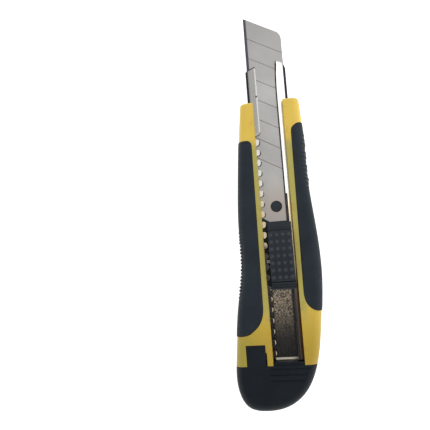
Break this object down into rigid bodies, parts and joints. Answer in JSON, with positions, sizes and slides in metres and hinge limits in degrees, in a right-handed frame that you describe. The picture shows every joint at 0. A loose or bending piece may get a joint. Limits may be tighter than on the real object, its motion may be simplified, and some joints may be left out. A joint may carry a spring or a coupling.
{
  "type": "utility knife",
  "caption": "Snap-off utility knife: segmented blade in a steel channel with locking lobes, thumb slider, two-colour plastic housing with rubber grips and a pull-off end cap.",
  "frame": {"origin": "middle of the housing's length on its flat back, on the blade's centre line", "axes": "+Y along the blade towards its tip, +Z out of the front where the thumb button is, +X to the right seen from the front with the tip up"},
  "size_m": [0.0434, 0.1896, 0.0166],
  "materials": {
    "yellow_plastic": "satin moulded plastic",
    "grip_rubber": "matte soft rubber with a faint grain",
    "channel_steel": "bright zinc-plated steel sheet",
    "blade_steel": "satin ground steel",
    "slider_plastic": "matte moulded plastic",
    "spring_steel": "rolled spring steel",
    "cap_plastic": "satin moulded plastic"
  },
  "bodies": {
    "handle": {"housing": "yellow_plastic", "grip_left": "grip_rubber", "grip_right": "grip_rubber", "blade_channel": "channel_steel"},
    "slider": {"blade_carrier": "slider_plastic", "blade": "blade_steel", "lock_spring": "spring_steel"},
    "button": {"thumb_button": "slider_plastic"},
    "cap": {"end_cap": "cap_plastic"}
  },
  "joints": [
    {"name": "blade_slide", "type": "slide", "parent": "handle", "child": "slider", "axis": [0, 1, 0], "range_m": [-0.03, 0.045], "deforming": ["lock_spring"]},
    {"name": "button_press", "type": "slide", "parent": "slider", "child": "button", "axis": [0, 0, -1], "range_m": [0, 0.001], "stiffness_N_per_m": 800, "springref_m": -0.0005, "deforming": ["lock_spring"]},
    {"name": "cap_pull", "type": "slide", "parent": "handle", "child": "cap", "axis": [0, -1, 0], "range_m": [0, 0.02]}
  ]
}
